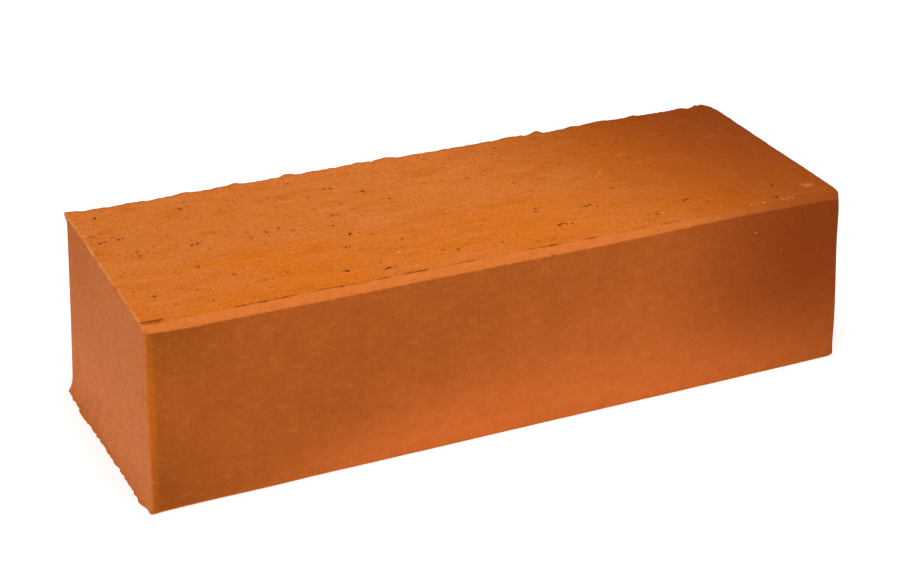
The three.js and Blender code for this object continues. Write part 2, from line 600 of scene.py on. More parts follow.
def left_foot_size(y):
    """Size of the left end's foot lip, which dies away at its two corners."""
    at_back = LEFT_LIP_LEFT_OVER + (1 - LEFT_LIP_LEFT_OVER) * ramp(*LEFT_LIP_ENDS, y)
    fuller = 1 + LEFT_LIP_FULLER * ramp(*LEFT_LIP_FILLS, y)
    return LEFT_FOOT_LIP * ramp(*LEFT_LIP_STARTS, y) * at_back * fuller


def lean(z, top_and_foot):
    """An end that leans: how far out it is at height z."""
    top, foot = top_and_foot
    return foot + (top - foot) * z / HEIGHT


def left_relief(at):
    """How far the left end stands out of its plane."""
    back_share = at.from_front / WIDTH
    relief = side_relief(at.y, at.z, LEFT_SEED)
    relief += foot_lip(at.y, at.z, left_foot_size(at.y), LEFT_SEED, LEFT_TOOTH_LENGTH)
    relief += lean(at.z, LEFT_LEAN_FRONT) * (1 - back_share) + lean(at.z, LEFT_LEAN_BACK) * back_share
    return relief + LEFT_TOP_LIP * ragged(at.y, LEFT_LIP_SEED) * near_edge(at.below_top, TOP_LIP_REACH)


def right_relief(at):
    """How far the right end stands out of its plane."""
    relief = side_relief(at.y, at.z, RIGHT_SEED) + lean(at.z, RIGHT_LEAN)
    relief += foot_lip(at.y, at.z, OTHER_FOOT_LIP, RIGHT_SEED)
    return relief + RIGHT_FLARE * ramp(*RIGHT_FLARES, at.z)


def front_relief(at):
    """How far the front stands out of its plane, with its foot lip, chips and torn edge."""
    foot = OTHER_FOOT_LIP * near_edge(at.from_left, FRONT_FOOT_REACH)
    relief = side_relief(at.x, at.z, FRONT_SEED) + foot_lip(at.x, at.z, foot, FRONT_SEED)
    rim = near_edge(at.from_front, FRONT_RIM_REACH)
    relief -= chip_depth(at.x) * near_edge(at.below_top, FRONT_RIM_REACH) * rim
    plain_lip, toothed_lip = FRONT_TOP_TEETH
    lip = FRONT_TOP_LIP * (plain_lip + toothed_lip * ragged(at.x, FRONT_LIP_SEED))
    return relief + lip * near_edge(at.below_top, FRONT_TOP_REACH) * rim


def back_relief(at):
    """How far the back stands out of its plane, under the lumps that hang over it."""
    relief = side_relief(at.x, at.z, BACK_SEED) + foot_lip(at.x, at.z, OTHER_FOOT_LIP, BACK_SEED)
    return relief + LUMP_OVERHANG * lump_height(at.x) * near_edge(at.below_top, LUMP_REACH)


def bevel_rise(x):
    """How far the bevel's lower edge stands above its plain line."""
    rise = 0.0
    for middle, reach, height in BEVEL_RISES:
        rise += height * near_edge(np.abs(x - middle), reach)
    return rise


def top_relief(at):
    """Height of the wire-cut top bed above its plane."""
    x, y = at.x, at.y
    on_bed = ramp(*BEVEL_TO_BED, at.from_front)
    fine = layered_noise(x, y, DRAG_LINES) + layered_noise(x, y, BED_GRAIN)
    height = layered_noise(x, y, HOLLOWS) * (HOLLOWS_ON_BEVEL + (1 - HOLLOWS_ON_BEVEL) * on_bed)
    height += fine * (GRAIN_ON_BEVEL + (1 - GRAIN_ON_BEVEL) * on_bed)
    height += lump_height(x) * near_edge(at.from_back, LUMP_REACH)
    height += LEFT_TOP_TEETH * ragged(y, LEFT_TEETH_SEED) * near_edge(at.from_left, LEFT_TOP_REACH)
    height -= chip_depth(x) * near_edge(at.from_front, FRONT_TOP_REACH)
    height -= RIGHT_END_DROP * ramp(*RIGHT_END_ROUNDS, at.from_right) ** 2
    from_corner = np.hypot(at.from_right, at.from_front)
    height -= FRONT_RIGHT_DROP * near_edge(from_corner, FRONT_RIGHT_REACH)
    return height - (pit_depth(x, y) * on_bed + crack_depth(x, y))


def underside_relief(at):
    """Height of the wire-cut bottom bed above the surface that it stands on."""
    drag = DRAG_DEPTH * (1 + noise(at.x, at.y, *UNDERSIDE_DRAG))
    inside = ramp(*SCOOP_MARGIN, HALF_LENGTH - np.abs(at.x)) * ramp(*SCOOP_MARGIN, HALF_WIDTH - np.abs(at.y))
    scoops = SCOOP_DEPTH * ramp(*SCOOP_RANGE, noise(at.x, at.y, *UNDERSIDE_SCOOPS)) * inside
    return (drag + scoops) * (1 - near_edge(at.from_left, FLAT_FOOT_REACH))


def displaced(plain):
    """Every point of the plain brick moved to its place on the real, uneven one."""
    at = Place(plain)
    rise = bevel_rise(at.x) * near_edge(at.from_front, RISE_REACH_BACK)
    moved = plain.copy()
    moved[:, 0] += right_relief(at) * near_edge(at.from_right) - left_relief(at) * near_edge(at.from_left)
    moved[:, 1] += back_relief(at) * near_edge(at.from_back) - front_relief(at) * near_edge(at.from_front)
    moved[:, 2] += top_relief(at) * near_edge(at.below_top)
    moved[:, 2] += underside_relief(at) * near_edge(at.z)
    moved[:, 2] += rise * near_edge(at.below_top, RISE_REACH_DOWN)
    for side_x, side_y, height, size, reach in CORNER_TIPS:
        away = np.hypot(at.x - side_x * HALF_LENGTH, at.y - side_y * HALF_WIDTH)
        tip = size * near_edge(away, reach) * near_edge(np.abs(at.z - height), reach)
        moved[:, 0] += side_x * tip
        moved[:, 1] += TIP_SHARE_ACROSS * side_y * tip
    moved[:, 2] = np.maximum(moved[:, 2], 0)
    return moved


# ---------- the plain brick's points


def die_outline(inset=0.0):
    """Points round the brick, from the front-left corner, and each one's outward direction."""
    corners = (
        (-1, -1, FRONT_LEFT_RADIUS, 180),
        (1, -1, FRONT_RIGHT_RADIUS, 270),
        (1, 1, BACK_RIGHT_RADIUS, 0),
        (-1, 1, BACK_LEFT_RADIUS, 90),
    )
    arcs = []
    for side_x, side_y, radius, start in corners:
        turns = np.radians(start + np.linspace(0, 90, round(90 / CORNER_STEP_DEGREES) + 1))
        outward = np.stack([np.cos(turns), np.sin(turns)], 1)
        centre = np.array([side_x * (HALF_LENGTH - radius), side_y * (HALF_WIDTH - radius)])
        arcs.append((centre + outward * (radius - inset), outward))
    points, directions = [], []
    for (arc, outward), (next_arc, _) in zip(arcs, arcs[1:] + arcs[:1]):
        points.append(arc)
        directions.append(outward)
        run = next_arc[0] - arc[-1]
        on_left = round(outward[-1][0]) == -1
        steps = max(2, round(np.hypot(*run) / (LEFT_SIDE_STEP if on_left else SIDE_STEP)))
        share = np.arange(1, steps)[:, None] / steps
        points.append(arc[-1] + share * run)
        directions.append(np.repeat(outward[-1:], steps - 1, 0))
    return np.concatenate(points), np.concatenate(directions)


def side_rows():
    """Each flat row of the side wall as a share of the way up."""
    t = np.linspace(0, 1, SIDE_ROWS)
    return ROW_EVENNESS * t + (1 - ROW_EVENNESS) * (1 - np.cos(np.pi * t)) / 2


def side_wall():
    """The four sides as a grid: points of shape (rows, columns, 3), foot row first."""
    outline, outward = die_outline()
    turns = np.radians(EDGE_TURNS)
    inset_outline = outline - outward * EDGE_RADIUS
    top = bevelled_top(inset_outline[:, 1])
    rows = []
    for turn in turns[::-1]:
        height = EDGE_RADIUS * (1 - math.sin(turn))
        rows.append((EDGE_RADIUS * (1 - math.cos(turn)), np.full(len(top), height)))
    for share in side_rows():
        rows.append((0.0, EDGE_RADIUS + share * (top - 2 * EDGE_RADIUS)))
    for turn in turns:
        rows.append((EDGE_RADIUS * (1 - math.cos(turn)), top - EDGE_RADIUS * (1 - math.sin(turn))))
    return np.array([np.column_stack([outline - outward * inset, z]) for inset, z in rows])


def lattice(step_x, step_y, margin):
    """Staggered rows of points that fill a bed, inside a margin."""
    rows = np.arange(-HALF_WIDTH + margin, HALF_WIDTH - margin + TINY, step_y)
    points = []
    for number, y in enumerate(rows):
        shift = step_x / 2 * (number % 2)
        x = np.arange(-HALF_LENGTH + margin + shift, HALF_LENGTH - margin, step_x)
        points.append(np.column_stack([x, np.full(len(x), y)]))
    return np.concatenate(points)


def rim_rows():
    """Closer points just inside the bed's edge, where the torn lips are."""
    points = []
    for inset in RIM_INSETS:
        outline, _ = die_outline(inset)
        points.append(outline)
    return np.concatenate(points)


def pit_points():
    """Rings of points on each pit's wall and floor."""
    points = []
    for x, y, a, b, _ in PITS:
        for ring, radius in enumerate(PIT_RINGS):
            count = PIT_RING_POINTS if radius else 1
            turns = (np.arange(count) + 0.5 * (ring % 2)) * 2 * np.pi / count
            points.append(np.column_stack([x + a * radius * np.cos(turns), y + b * radius * np.sin(turns)]))
    return thinned(np.concatenate(points), PIT_POINT_GAP)


def thinned(points, gap):
    """The first point in each cell of a grid."""
    _, first = np.unique(np.floor(points / gap), axis=0, return_index=True)
    return points[np.sort(first)]


def crack_points():
    """Rows of points that follow the crack."""
    x = np.arange(CRACK_POINTS_START, CRACK_END, CRACK_STEP)
    rows = [np.column_stack([x, crack_line(x) + off]) for off in CRACK_ROWS]
    split = x[x < SPLIT_END]
    rows += [np.column_stack([split, crack_line(split) + SPLIT_GAP + off]) for off in SPLIT_ROWS]
    return np.concatenate(rows)


def clear_of(points, others, gap):
    """The points with none of the others near them, on a grid as fine as gap."""
    taken = {tuple(c) for c in np.floor(others / gap).astype(int).tolist()}
    near = [(i, j) for i in (-1, 0, 1) for j in (-1, 0, 1)]
    cells = np.floor(points / gap).astype(int).tolist()
    keep = [all((i + a, j + b) not in taken for a, b in near) for i, j in cells]
    return points[np.array(keep)]


def top_points():
    """All the points inside the top bed's rim."""
    fine = np.concatenate([pit_points(), crack_points()])
    fine = np.concatenate([fine, clear_of(rim_rows(), fine, RIM_GAP)])
    rest = lattice(BED_STEP_ALONG, BED_STEP_ACROSS, BED_MARGIN)
    return np.concatenate([fine, clear_of(rest, fine, BED_GAP)])


def underside_points():
    """All the points inside the bottom bed's rim."""
    rim = rim_rows()
    rest = lattice(UNDERSIDE_STEP, UNDERSIDE_STEP, UNDERSIDE_MARGIN)
    return np.concatenate([rim, clear_of(rest, rim, UNDERSIDE_GAP)])


def bed(rim, inside):
    """Triangles that fill a bed: its rim in order, then the points inside it."""
    points = [Vector(q) for q in np.concatenate([rim, inside]).tolist()]
    flat, _, triangles, *_ = delaunay_2d_cdt(points, [], [list(range(len(rim)))], INSIDE_ONLY, TINY)
    return np.array([tuple(q) for q in flat]), triangles


def brick_points_and_faces():
    """The plain brick: its points, and its faces as rows of point numbers."""
    wall = side_wall()
    rows, columns, _ = wall.shape
    points = [wall.reshape(-1, 3)]
    faces = []
    for r in range(rows - 1):
        for c in range(columns):
            n = (c + 1) % columns
            faces.append((r * columns + c, r * columns + n, (r + 1) * columns + n, (r + 1) * columns + c))
    flat, triangles = bed(wall[-1, :, :2], top_points())
    start = rows * columns
    points.append(np.column_stack([flat, bevelled_top(flat[:, 1])]))
    faces += [tuple(start + i for i in t) for t in triangles]
    start += len(flat)
    flat, triangles = bed(wall[0, :, :2], underside_points())
    points.append(np.column_stack([flat, np.zeros(len(flat))]))
    faces += [tuple(start + i for i in reversed(t)) for t in triangles]
    return np.concatenate(points), faces


# ---------- meshes


def to_metres(points):
    """Points in millimetres as the plain lists of metres that Blender stores."""
    return (np.asarray(points, float) * MM).tolist()


def new_piece(name, mesh, material):
    """A mesh as an object that rides on the brick, with the material given."""
    mesh.materials.append(material)
    piece = bpy.data.objects.new(name, mesh)
    bpy.context.scene.collection.objects.link(piece)
    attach(piece, "root")
    return piece


def add_mask(mesh, name, values):
    """Stores one number for each vertex, for the material to read."""
    mesh.attributes.new(name, "FLOAT", "POINT").data.foreach_set("value", np.asarray(values, np.float32))


def pit_shade_mask(at):
    """Painted shade in the insides of pits, of the crack and of chips."""
    pits = np.clip(pit_depth(at.x, at.y) / DARK_PIT_DEPTH, 0, 1) * at.on_bed
    crack = np.clip(crack_depth(at.x, at.y) / DARK_CRACK_DEPTH, 0, 1)
    chips = CHIP_DARKNESS * chip_depth(at.x) * within(at, CHIP_EDGE)
    return np.maximum(np.maximum(pits, crack) * at.on_top, chips)


def corner_shade_mask(at):
    """Painted shade in two corners at the left of the front: low by the foot, and high up."""
    high = HIGH_CORNER_SHARE * within(at, HIGH_LEFT_CORNER)
    return np.maximum(within(at, LOW_LEFT_CORNER), high) * at.on_front


def edge_mask(at):
    """The clearer orange of the left arris and the left foot, and painted bounce light along the front's
    foot.
    """
    arris = within(at, LEFT_ARRIS) * at.on_front * (1 - ARRIS_LOST_IN_SHADE * corner_shade_mask(at))
    front_foot = FRONT_FOOT_SHARE * within(at, FRONT_FOOT) * at.on_front
    return np.maximum(np.maximum(arris, within(at, LEFT_FOOT)), front_foot)


def bounce_light_mask(at):
    """Painted bounce light, pinkish, low on the front."""
    everywhere, below, at_foot = GLOW_SHARES
    up = everywhere + below * within(at, GLOW_BELOW) + at_foot * within(at, GLOW_AT_FOOT)
    past_start = (at.x - GLOW_START - GLOW_SLANT * at.z) / (GLOW_WIDTH + GLOW_WIDENING * at.z)
    return up * within(at, GLOW_ALONG) * at.on_front * ramp(0, 1, past_start)


def shade_mask(at):
    """Painted shade high up on the left end, darkest towards the back."""
    across = SHADE_AT_FRONT + (1 - SHADE_AT_FRONT) * within(at, SHADE_ACROSS)
    return within(at, SHADE_UP) * across * at.on_left * (1 - at.on_top)


def right_shade_above_mask(at):
    """Painted shade at the right where the light falls off, partly darker clay, on every surface but the
    front.
    """
    right_shade = ramp(RIGHT_SHADE_START - RIGHT_SHADE_SLANT * at.y, RIGHT_SHADE_FULL, at.x)
    right_shade = right_shade * (1 - at.on_front) * (1 - RIGHT_SHADE_LESS_ON_END * at.on_end)
    return right_shade * (1 + RIGHT_SHADE_MORE_AT_BACK * at.y / HALF_WIDTH) * (1 - RIGHT_SHADE_LESS_ON_BEVEL * at.on_bevel)


def dull_mask(at):
    """The duller back half of the bed."""
    wavering = at.y + DULL_WAVER * noise(at.x, at.y, *DULL_EDGE)
    return ramp(*DULL_ACROSS, wavering) * within(at, DULL_ALONG) * at.on_top


def worn_mask(at):
    """The pale worn top edge of the left end."""
    even, toothed = WORN_SHARES
    along_edge = near_edge(at.from_left, WORN_REACH) * near_edge(at.below_top, WORN_REACH)
    return along_edge * (even + toothed * ragged(at.y, WORN_SEED))


def rim_shade_mask(at):
    """Painted shade along the top edges at the back and at the right, where they turn away from the light.
    """
    outer = np.maximum(near_edge(at.from_back, RIM_REACH), near_edge(at.from_right, RIM_REACH))
    return near_edge(at.below_top, RIM_REACH) * outer


def grain_mask(at):
    """How strongly the clay's grain shows: least on the smooth skin."""
    on_skin, on_bed, on_end = GRAIN_SHARES
    grain = on_skin + on_bed * at.on_top * at.on_bed + on_end * at.on_end
    return grain * (1 - GRAIN_LESS_IN_RIGHT_SHADE * right_shade_above_mask(at))


def vertex_masks(plain):
    """Every mask that the material reads, by name, with one number for each point."""
    at = Place(plain)
    underside = within(at, UNDERSIDE) * (1 - within(at, LEFT_FOOT))
    return {
        # painted shade in pits, the crack and chips
        "pit": pit_shade_mask(at),
        "bed": np.maximum(at.on_top * at.on_bed, underside),
        "bevel": at.on_bevel * within(at, BEVEL_ALONG),
        "dull": dull_mask(at),
        "smear": smear_share(at.x, at.y) * at.on_top,
        "worn": worn_mask(at),
        "scar": scar_share(at.x, at.y) * at.on_top,
        "end": at.on_end,
        # clearer orange, and painted bounce light along the front's foot
        "edge": edge_mask(at),
        # painted shade along the back and right top edges
        "rim": rim_shade_mask(at),
        # painted bounce light low on the front
        "bounce_light": bounce_light_mask(at),
        # painted shade high up on the left end
        "shade": shade_mask(at),
        # painted shade in the front's left corners
        "low": corner_shade_mask(at),
        "grain": grain_mask(at),
        # painted shade at the right, partly darker clay
        "right_shade": np.maximum(right_shade_above_mask(at), within(at, RIGHT_SHADE_ON_FRONT) * at.on_front),
    }


def add_bake_map(mesh):
    """A flat map of the six sides, each at one scale and apart, for textures baked later."""
    wide, deep, high = LENGTH + MAP_MARGIN, WIDTH + MAP_MARGIN, HEIGHT + MAP_MARGIN
    middles = (wide / 2, deep / 2, MAP_MARGIN / 2)
    column, row = wide + MAP_GAP, deep + MAP_GAP
    # By the axis a face points along, and whether up it: the axes to the map's right and up, and its place
    layout = {
        (2, True): (0, 1, 0, 0),
        (2, False): (0, 1, 0, row),
        (1, False): (0, 2, 0, 2 * row),
        (1, True): (0, 2, 0, 2 * row + high + MAP_GAP),
        (0, False): (2, 1, column, 0),
        (0, True): (2, 1, column, row),
    }
    size = max(wide + high + 2 * MAP_GAP, 2 * (deep + high) + 4 * MAP_GAP)
    uv = mesh.uv_layers.new(name="OFBake").data
    for face in mesh.polygons:
        axis = int(np.argmax(np.abs(face.normal)))
        right, up, left, low = layout[axis, face.normal[axis] > 0]
        for corner in face.loop_indices:
            place = mesh.vertices[mesh.loops[corner].vertex_index].co / MM
            across_map = place[right] + middles[right] + left + MAP_GAP / 2
            up_map = place[up] + middles[up] + low + MAP_GAP / 2
            uv[corner].uv = (across_map / size, up_map / size)


def make_brick(material):
    """The whole brick as one closed surface."""
    plain, faces = brick_points_and_faces()
    mesh = bpy.data.meshes.new("brick_surface")
    mesh.from_pydata(to_metres(displaced(plain)), [], faces)
    for name, values in vertex_masks(plain).items():
        add_mask(mesh, name, values)
    work = bmesh.new()
    work.from_mesh(mesh)
    bmesh.ops.remove_doubles(work, verts=work.verts, dist=MERGE_DISTANCE)
    bmesh.ops.recalc_face_normals(work, faces=work.faces)
    work.to_mesh(mesh)
    work.free()
    mesh.shade_smooth()
    add_bake_map(mesh)
    piece = new_piece("brick_surface", mesh, material)
    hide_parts("brick_body")
    return piece


def grain_places(rng):
    """Where the pale grains lie on the plain brick: point and radius."""
    smallest, largest = GRAIN_RADIUS

    def radius():
        return smallest + (largest - smallest) * rng.random() ** GRAIN_RARITY

    places = []
    for x, y, wide, deep, count in GRAIN_PATCHES:
        for _ in range(count):
            px = x + wide * rng.uniform(-0.5, 0.5)
            py = max(y + deep * rng.uniform(-0.5, 0.5), -HALF_WIDTH + GRAIN_MARGIN)
            places.append(((px, py, bevelled_top(py)), radius()))
    for _ in range(EDGE_CRUMBS):
        py = HALF_WIDTH * rng.uniform(*CRUMB_SPAN)
        px = -HALF_LENGTH + abs(rng.normal(0, CRUMB_SPREAD))
        places.append(((px, py, bevelled_top(py) - rng.uniform(0, CRUMB_DROP)), radius()))
    for _ in range(FRONT_GRAINS):
        px = HALF_LENGTH * rng.uniform(*FRONT_GRAIN_SPAN)
        pz = HEIGHT * rng.uniform(*FRONT_GRAIN_HEIGHTS)
        places.append(((px, -HALF_WIDTH, pz), FRONT_GRAIN_SCALE * radius()))
    return places


def make_grains(material):
    """Small flattened grains, each sunk half its depth into the brick's surface."""
    rng = np.random.default_rng(GRAIN_SEED)
    work = bmesh.new()
    for place, radius in grain_places(rng):
        middle = displaced(np.array([place]))[0]
        along, across = rng.uniform(*GRAIN_STRETCH_ALONG), rng.uniform(*GRAIN_STRETCH_ACROSS)
        stretch = Matrix.Diagonal((along, across, GRAIN_FLATNESS, 1))
        turn = Matrix.Rotation(rng.normal(0, GRAIN_TURN), 4, "Z")
        ball = bmesh.ops.create_icosphere(work, subdivisions=1, radius=radius * MM)
        shift = Matrix.Translation(Vector(to_metres(middle)))
        bmesh.ops.transform(work, matrix=shift @ turn @ stretch, verts=ball["verts"])
    mesh = bpy.data.meshes.new("sand_grains")
    work.to_mesh(mesh)
    work.free()
    mesh.shade_smooth()
    new_piece("sand_grains", mesh, material)


# ---------- materials


class Nodes:
    """A short way to write a material's node tree."""

    def __init__(self, name):
        self.material = bpy.data.materials.new(name)
        self.material.use_nodes = True
        self.tree = self.material.node_tree
        self.shader = self.tree.nodes["Principled BSDF"]
        coordinates = self.tree.nodes.new("ShaderNodeTexCoord")
        self.place = coordinates.outputs["Object"]

    def feed(self, socket, value):
        """Links a node's output to a socket, or sets a plain value on it."""
        if isinstance(value, bpy.types.NodeSocket):
            self.tree.links.new(value, socket)
        else:
            socket.default_value = value

    def scaled(self, scale):
        """The object's coordinates, stretched by a scale for each axis."""
        node = self.tree.nodes.new("ShaderNodeMapping")
        node.inputs["Scale"].default_value = scale
        self.feed(node.inputs["Vector"], self.place)
        return node.outputs["Vector"]

    def noise(self, size, detail=3.0, roughness=0.55):
        """Noise from 0 to 1 whose patches are size millimetres along X, Y and Z."""
        node = self.tree.nodes.new("ShaderNodeTexNoise")
        node.inputs["Scale"].default_value = 1.0
        node.inputs["Detail"].default_value = detail
        node.inputs["Roughness"].default_value = roughness
        self.feed(node.inputs["Vector"], self.scaled([1 / (s * MM) for s in size]))
        return node.outputs["Fac"]

    def mask(self, name):
        """A mask stored on the mesh, from 0 to 1."""
        node = self.tree.nodes.new("ShaderNodeAttribute")
        node.attribute_name = name
        return node.outputs["Fac"]

    def masked(self, name, share):
        """A mask, weakened to a share."""
        return self.sum("MULTIPLY", self.mask(name), share)

    def spread(self, value, low, high, to_low=0.0, to_high=1.0):
        """Maps low..high to to_low..to_high, smoothly and with both ends held."""
        node = self.tree.nodes.new("ShaderNodeMapRange")
        node.interpolation_type = "SMOOTHSTEP"
        limits = {"From Min": low, "From Max": high, "To Min": to_low, "To Max": to_high}
        for name, number in limits.items():
            node.inputs[name].default_value = number
        self.feed(node.inputs["Value"], value)
        return node.outputs["Result"]

    def sum(self, operation, a, b):
        """Two values put through one of the math node's operations."""
        node = self.tree.nodes.new("ShaderNodeMath")
        node.operation = operation
        self.feed(node.inputs[0], a)
        self.feed(node.inputs[1], b)
        return node.outputs[0]

    def mix(self, share, a, b):
        """Colour a, with b over it by share."""
        node = self.tree.nodes.new("ShaderNodeMix")
        node.data_type = "RGBA"
        # The node keeps a socket for each kind of value; 0, 6, 7 and 2 are those of colours
        factor, first, second = (node.inputs[i] for i in (0, 6, 7))
        self.feed(factor, share)
        self.feed(first, a)
        self.feed(second, b)
        return node.outputs[2]

    def bump(self, height, distance, normal=None):
        """A normal tilted by a height, over another normal where there is one."""
        node = self.tree.nodes.new("ShaderNodeBump")
        node.inputs["Distance"].default_value = distance * MM
        self.feed(node.inputs["Height"], height)
        if normal is not None:
            self.feed(node.inputs["Normal"], normal)
        return node.outputs["Normal"]


# Linear colours of the clay, and of the painted shade and bounce light laid on it
BED_ORANGE = (0.590, 0.136, 0.005, 1)
BED_DULL = (0.570, 0.152, 0.024, 1)
BED_DEEP = (0.530, 0.110, 0.004, 1)
BED_DUST = (0.640, 0.210, 0.052, 1)
SKIN_BROWN = (0.347, 0.078, 0.0085, 1)
SKIN_PINK = (0.432, 0.097, 0.0135, 1)
# Painted bounce light low on the front
PAINTED_BOUNCE_LIGHT = (0.600, 0.131, 0.023, 1)
# Painted shade in the front's left corners
PAINTED_CORNER_SHADE = (0.270, 0.062, 0.004, 1)
END_PINK = (0.550, 0.163, 0.050, 1)
END_DARK = (0.470, 0.122, 0.030, 1)
# Painted shade high up on the left end
END_SHADE = (0.400, 0.092, 0.011, 1)
BEVEL_ORANGE = (0.575, 0.147, 0.026, 1)
# Clearer orange of the left arris and foot; along the front's foot, painted bounce light
EDGE_ORANGE = (0.500, 0.114, 0.004, 1)
# Painted shade at the right where the light falls off, partly darker clay
PAINTED_RIGHT_SHADE = (0.180, 0.024, 0.001, 1)
# Painted shade in pits, the crack and chips
PAINTED_PIT_SHADE = (0.060, 0.012, 0.003, 1)
DARK_GRAIN = (0.200, 0.040, 0.004, 1)
PALE_GRAIN = (0.780, 0.280, 0.065, 1)
# Painted shade along the back and right top edges
PAINTED_RIM_SHADE = (0.240, 0.040, 0.001, 1)
WORN_PALE = (0.720, 0.330, 0.140, 1)
SCAR_GREY = (0.300, 0.120, 0.045, 1)
SAND = (0.640, 0.330, 0.130, 1)

# Noise in the clay: patch size along, across and up in millimetres, detail and roughness
CLAY_NOISES = {
    "patches": ((60, 34, 30), 2.0, 0.55),
    "mottle": ((3.2, 1.8, 2.6), 5.0, 0.65),
    "cloud": ((14, 8, 11), 4.0, 0.55),
    "drag": ((20, 1.7, 3.0), 4.0, 0.55),
    "streak": ((1.4, 1.4, 17), 4.0, 0.55),
    "grain": ((0.75, 0.6, 0.65), 2.0, 0.7),
    "speck": ((0.8, 0.7, 0.7), 1.0, 0.55),
    "dot": ((1.1, 0.8, 0.9), 1.0, 0.55),
}
# Layers of colour, each laid over the ones before it. A noise shows between two values of it, with a
# share at each; a mask has its share where it is full.
BED_LAYERS = (
    ("patches", (0.40, 0.68, 0, 0.6), BED_DULL),
    ("dull", 0.85, BED_DULL),
    ("cloud", (0.46, 0.72, 0, 0.75), BED_DEEP),
    ("drag", (0.50, 0.78, 0, 0.45), BED_DUST),
    ("scar", 0.35, SCAR_GREY),
    ("dot", (0.64, 0.72, 0, 0.6), DARK_GRAIN),
)
SKIN_LAYERS = (
    ("cloud", (0.35, 0.68, 0.3, 0.7), SKIN_PINK),
    ("streak", (0.50, 0.75, 0, 0.07), BED_DUST),
    # Painted bounce light low on the front
    ("bounce_light", 1.0, PAINTED_BOUNCE_LIGHT),
    # Painted shade in the front's left corners
    ("low", 0.8, PAINTED_CORNER_SHADE),
)
END_LAYERS = (
    ("streak", (0.36, 0.64, 0.3, 0.75), END_PINK),
    ("cloud", (0.35, 0.65, 0, 0.7), END_PINK),
    # Painted shade high up on the left end
    ("shade", 0.75, END_SHADE),
)
EDGE_LAYERS = (
    ("bevel", 1.0, BEVEL_ORANGE),
    # Clearer orange, and painted bounce light along the front's foot
    ("edge", 0.8, EDGE_ORANGE),
    ("worn", 0.6, WORN_PALE),
    ("mottle", (0.25, 0.60, 0.16, 0), DARK_GRAIN),
    ("mottle", (0.50, 0.80, 0, 0.22), BED_DUST),
)
# These also follow the grain mask
GRAIN_LAYERS = (
    ("grain", (0.25, 0.60, 0.46, 0), DARK_GRAIN),
    ("grain", (0.52, 0.76, 0, 0.36), PALE_GRAIN),
    ("speck", (0.70, 0.80, 0, 0.55), PALE_GRAIN),
)
LAST_LAYERS = (
    # Painted shade at the right, partly darker clay
    ("right_shade", 0.75, PAINTED_RIGHT_SHADE),
    ("smear", 0.45, BED_DUST),
    # Painted shade along the back and right top edges
    ("rim", 0.6, PAINTED_RIM_SHADE),
)
# Where the painted shade in pits, the crack and chips shows
PIT_DARKNESS = (0.10, 0.85, 0, 0.92)
CLAY_ROUGHNESS = (0.2, 0.8, 0.80, 0.98)
# Depth of the bumps, in millimetres, and how much of the light the clay reflects
GRAIN_BUMP = 0.3
MOTTLE_BUMP = 0.4
STREAK_BUMP = 0.16
CLAY_SPECULAR = 0.06

SAND_TINT_SIZE = (2.5, 2.5, 2.5)
SAND_TINT = (0.3, 0.7)
SAND_ROUGHNESS = (0.6, 0.9)
SAND_BUMP_SIZE = (0.2, 0.2, 0.2)
SAND_BUMP = 0.05
SAND_SPECULAR = 0.2

FLOOR_COLOUR = (0.62, 0.62, 0.62, 1)
FLOOR_ROUGHNESS = 0.9
FLOOR_SPECULAR = 0.1
FLOOR_GLOW = 0.55
WHITE = (1, 1, 1, 1)


def layered(n, noises, colour, layers):
    """A colour with each layer laid over it in turn."""
    for name, shows, layer in layers:
        share = n.spread(noises[name], *shows) if name in noises else n.masked(name, shows)
        colour = n.mix(share, colour, layer)
    return colour


def clay_colour(n, noises):
    """The clay's colour: dragged and dusty on the beds, a smoother skin on the sides, with painted shade and
    painted bounce light laid in.
    """
    skin = layered(n, noises, SKIN_BROWN, SKIN_LAYERS)
    colour = n.mix(n.mask("end"), skin, layered(n, noises, END_DARK, END_LAYERS))
    colour = n.mix(n.mask("bed"), colour, layered(n, noises, BED_ORANGE, BED_LAYERS))
    colour = layered(n, noises, colour, EDGE_LAYERS)
    for name, shows, layer in GRAIN_LAYERS:
        share = n.sum("MULTIPLY", n.spread(noises[name], *shows), n.mask("grain"))
        colour = n.mix(share, colour, layer)
    colour = layered(n, noises, colour, LAST_LAYERS)
    # Painted shade in the pits, the crack and the chips
    return n.mix(n.spread(n.mask("pit"), *PIT_DARKNESS), colour, PAINTED_PIT_SHADE)


def fired_clay():
    """Orange fired clay."""
    n = Nodes("fired_clay")
    noises = {name: n.noise(*settings) for name, settings in CLAY_NOISES.items()}
    n.feed(n.shader.inputs["Base Color"], clay_colour(n, noises))
    n.feed(n.shader.inputs["Roughness"], n.spread(noises["grain"], *CLAY_ROUGHNESS))
    n.shader.inputs["Specular IOR Level"].default_value = CLAY_SPECULAR
    fine = n.bump(noises["mottle"], MOTTLE_BUMP, n.bump(noises["grain"], GRAIN_BUMP))
    lines = n.mix(n.mask("bed"), noises["streak"], noises["drag"])
    n.feed(n.shader.inputs["Normal"], n.bump(lines, STREAK_BUMP, fine))
    return n.material


def pale_sand():
    """Grains of sand, each a little lighter or darker than the next."""
    n = Nodes("pale_sand")
    tint = n.noise(SAND_TINT_SIZE, 1.0)
    n.feed(n.shader.inputs["Base Color"], n.mix(n.spread(tint, *SAND_TINT), SAND, BED_DUST))
    n.feed(n.shader.inputs["Roughness"], n.spread(tint, *SAND_TINT, *SAND_ROUGHNESS))
    n.shader.inputs["Specular IOR Level"].default_value = SAND_SPECULAR
    n.feed(n.shader.inputs["Normal"], n.bump(n.noise(SAND_BUMP_SIZE), SAND_BUMP))
    return n.material


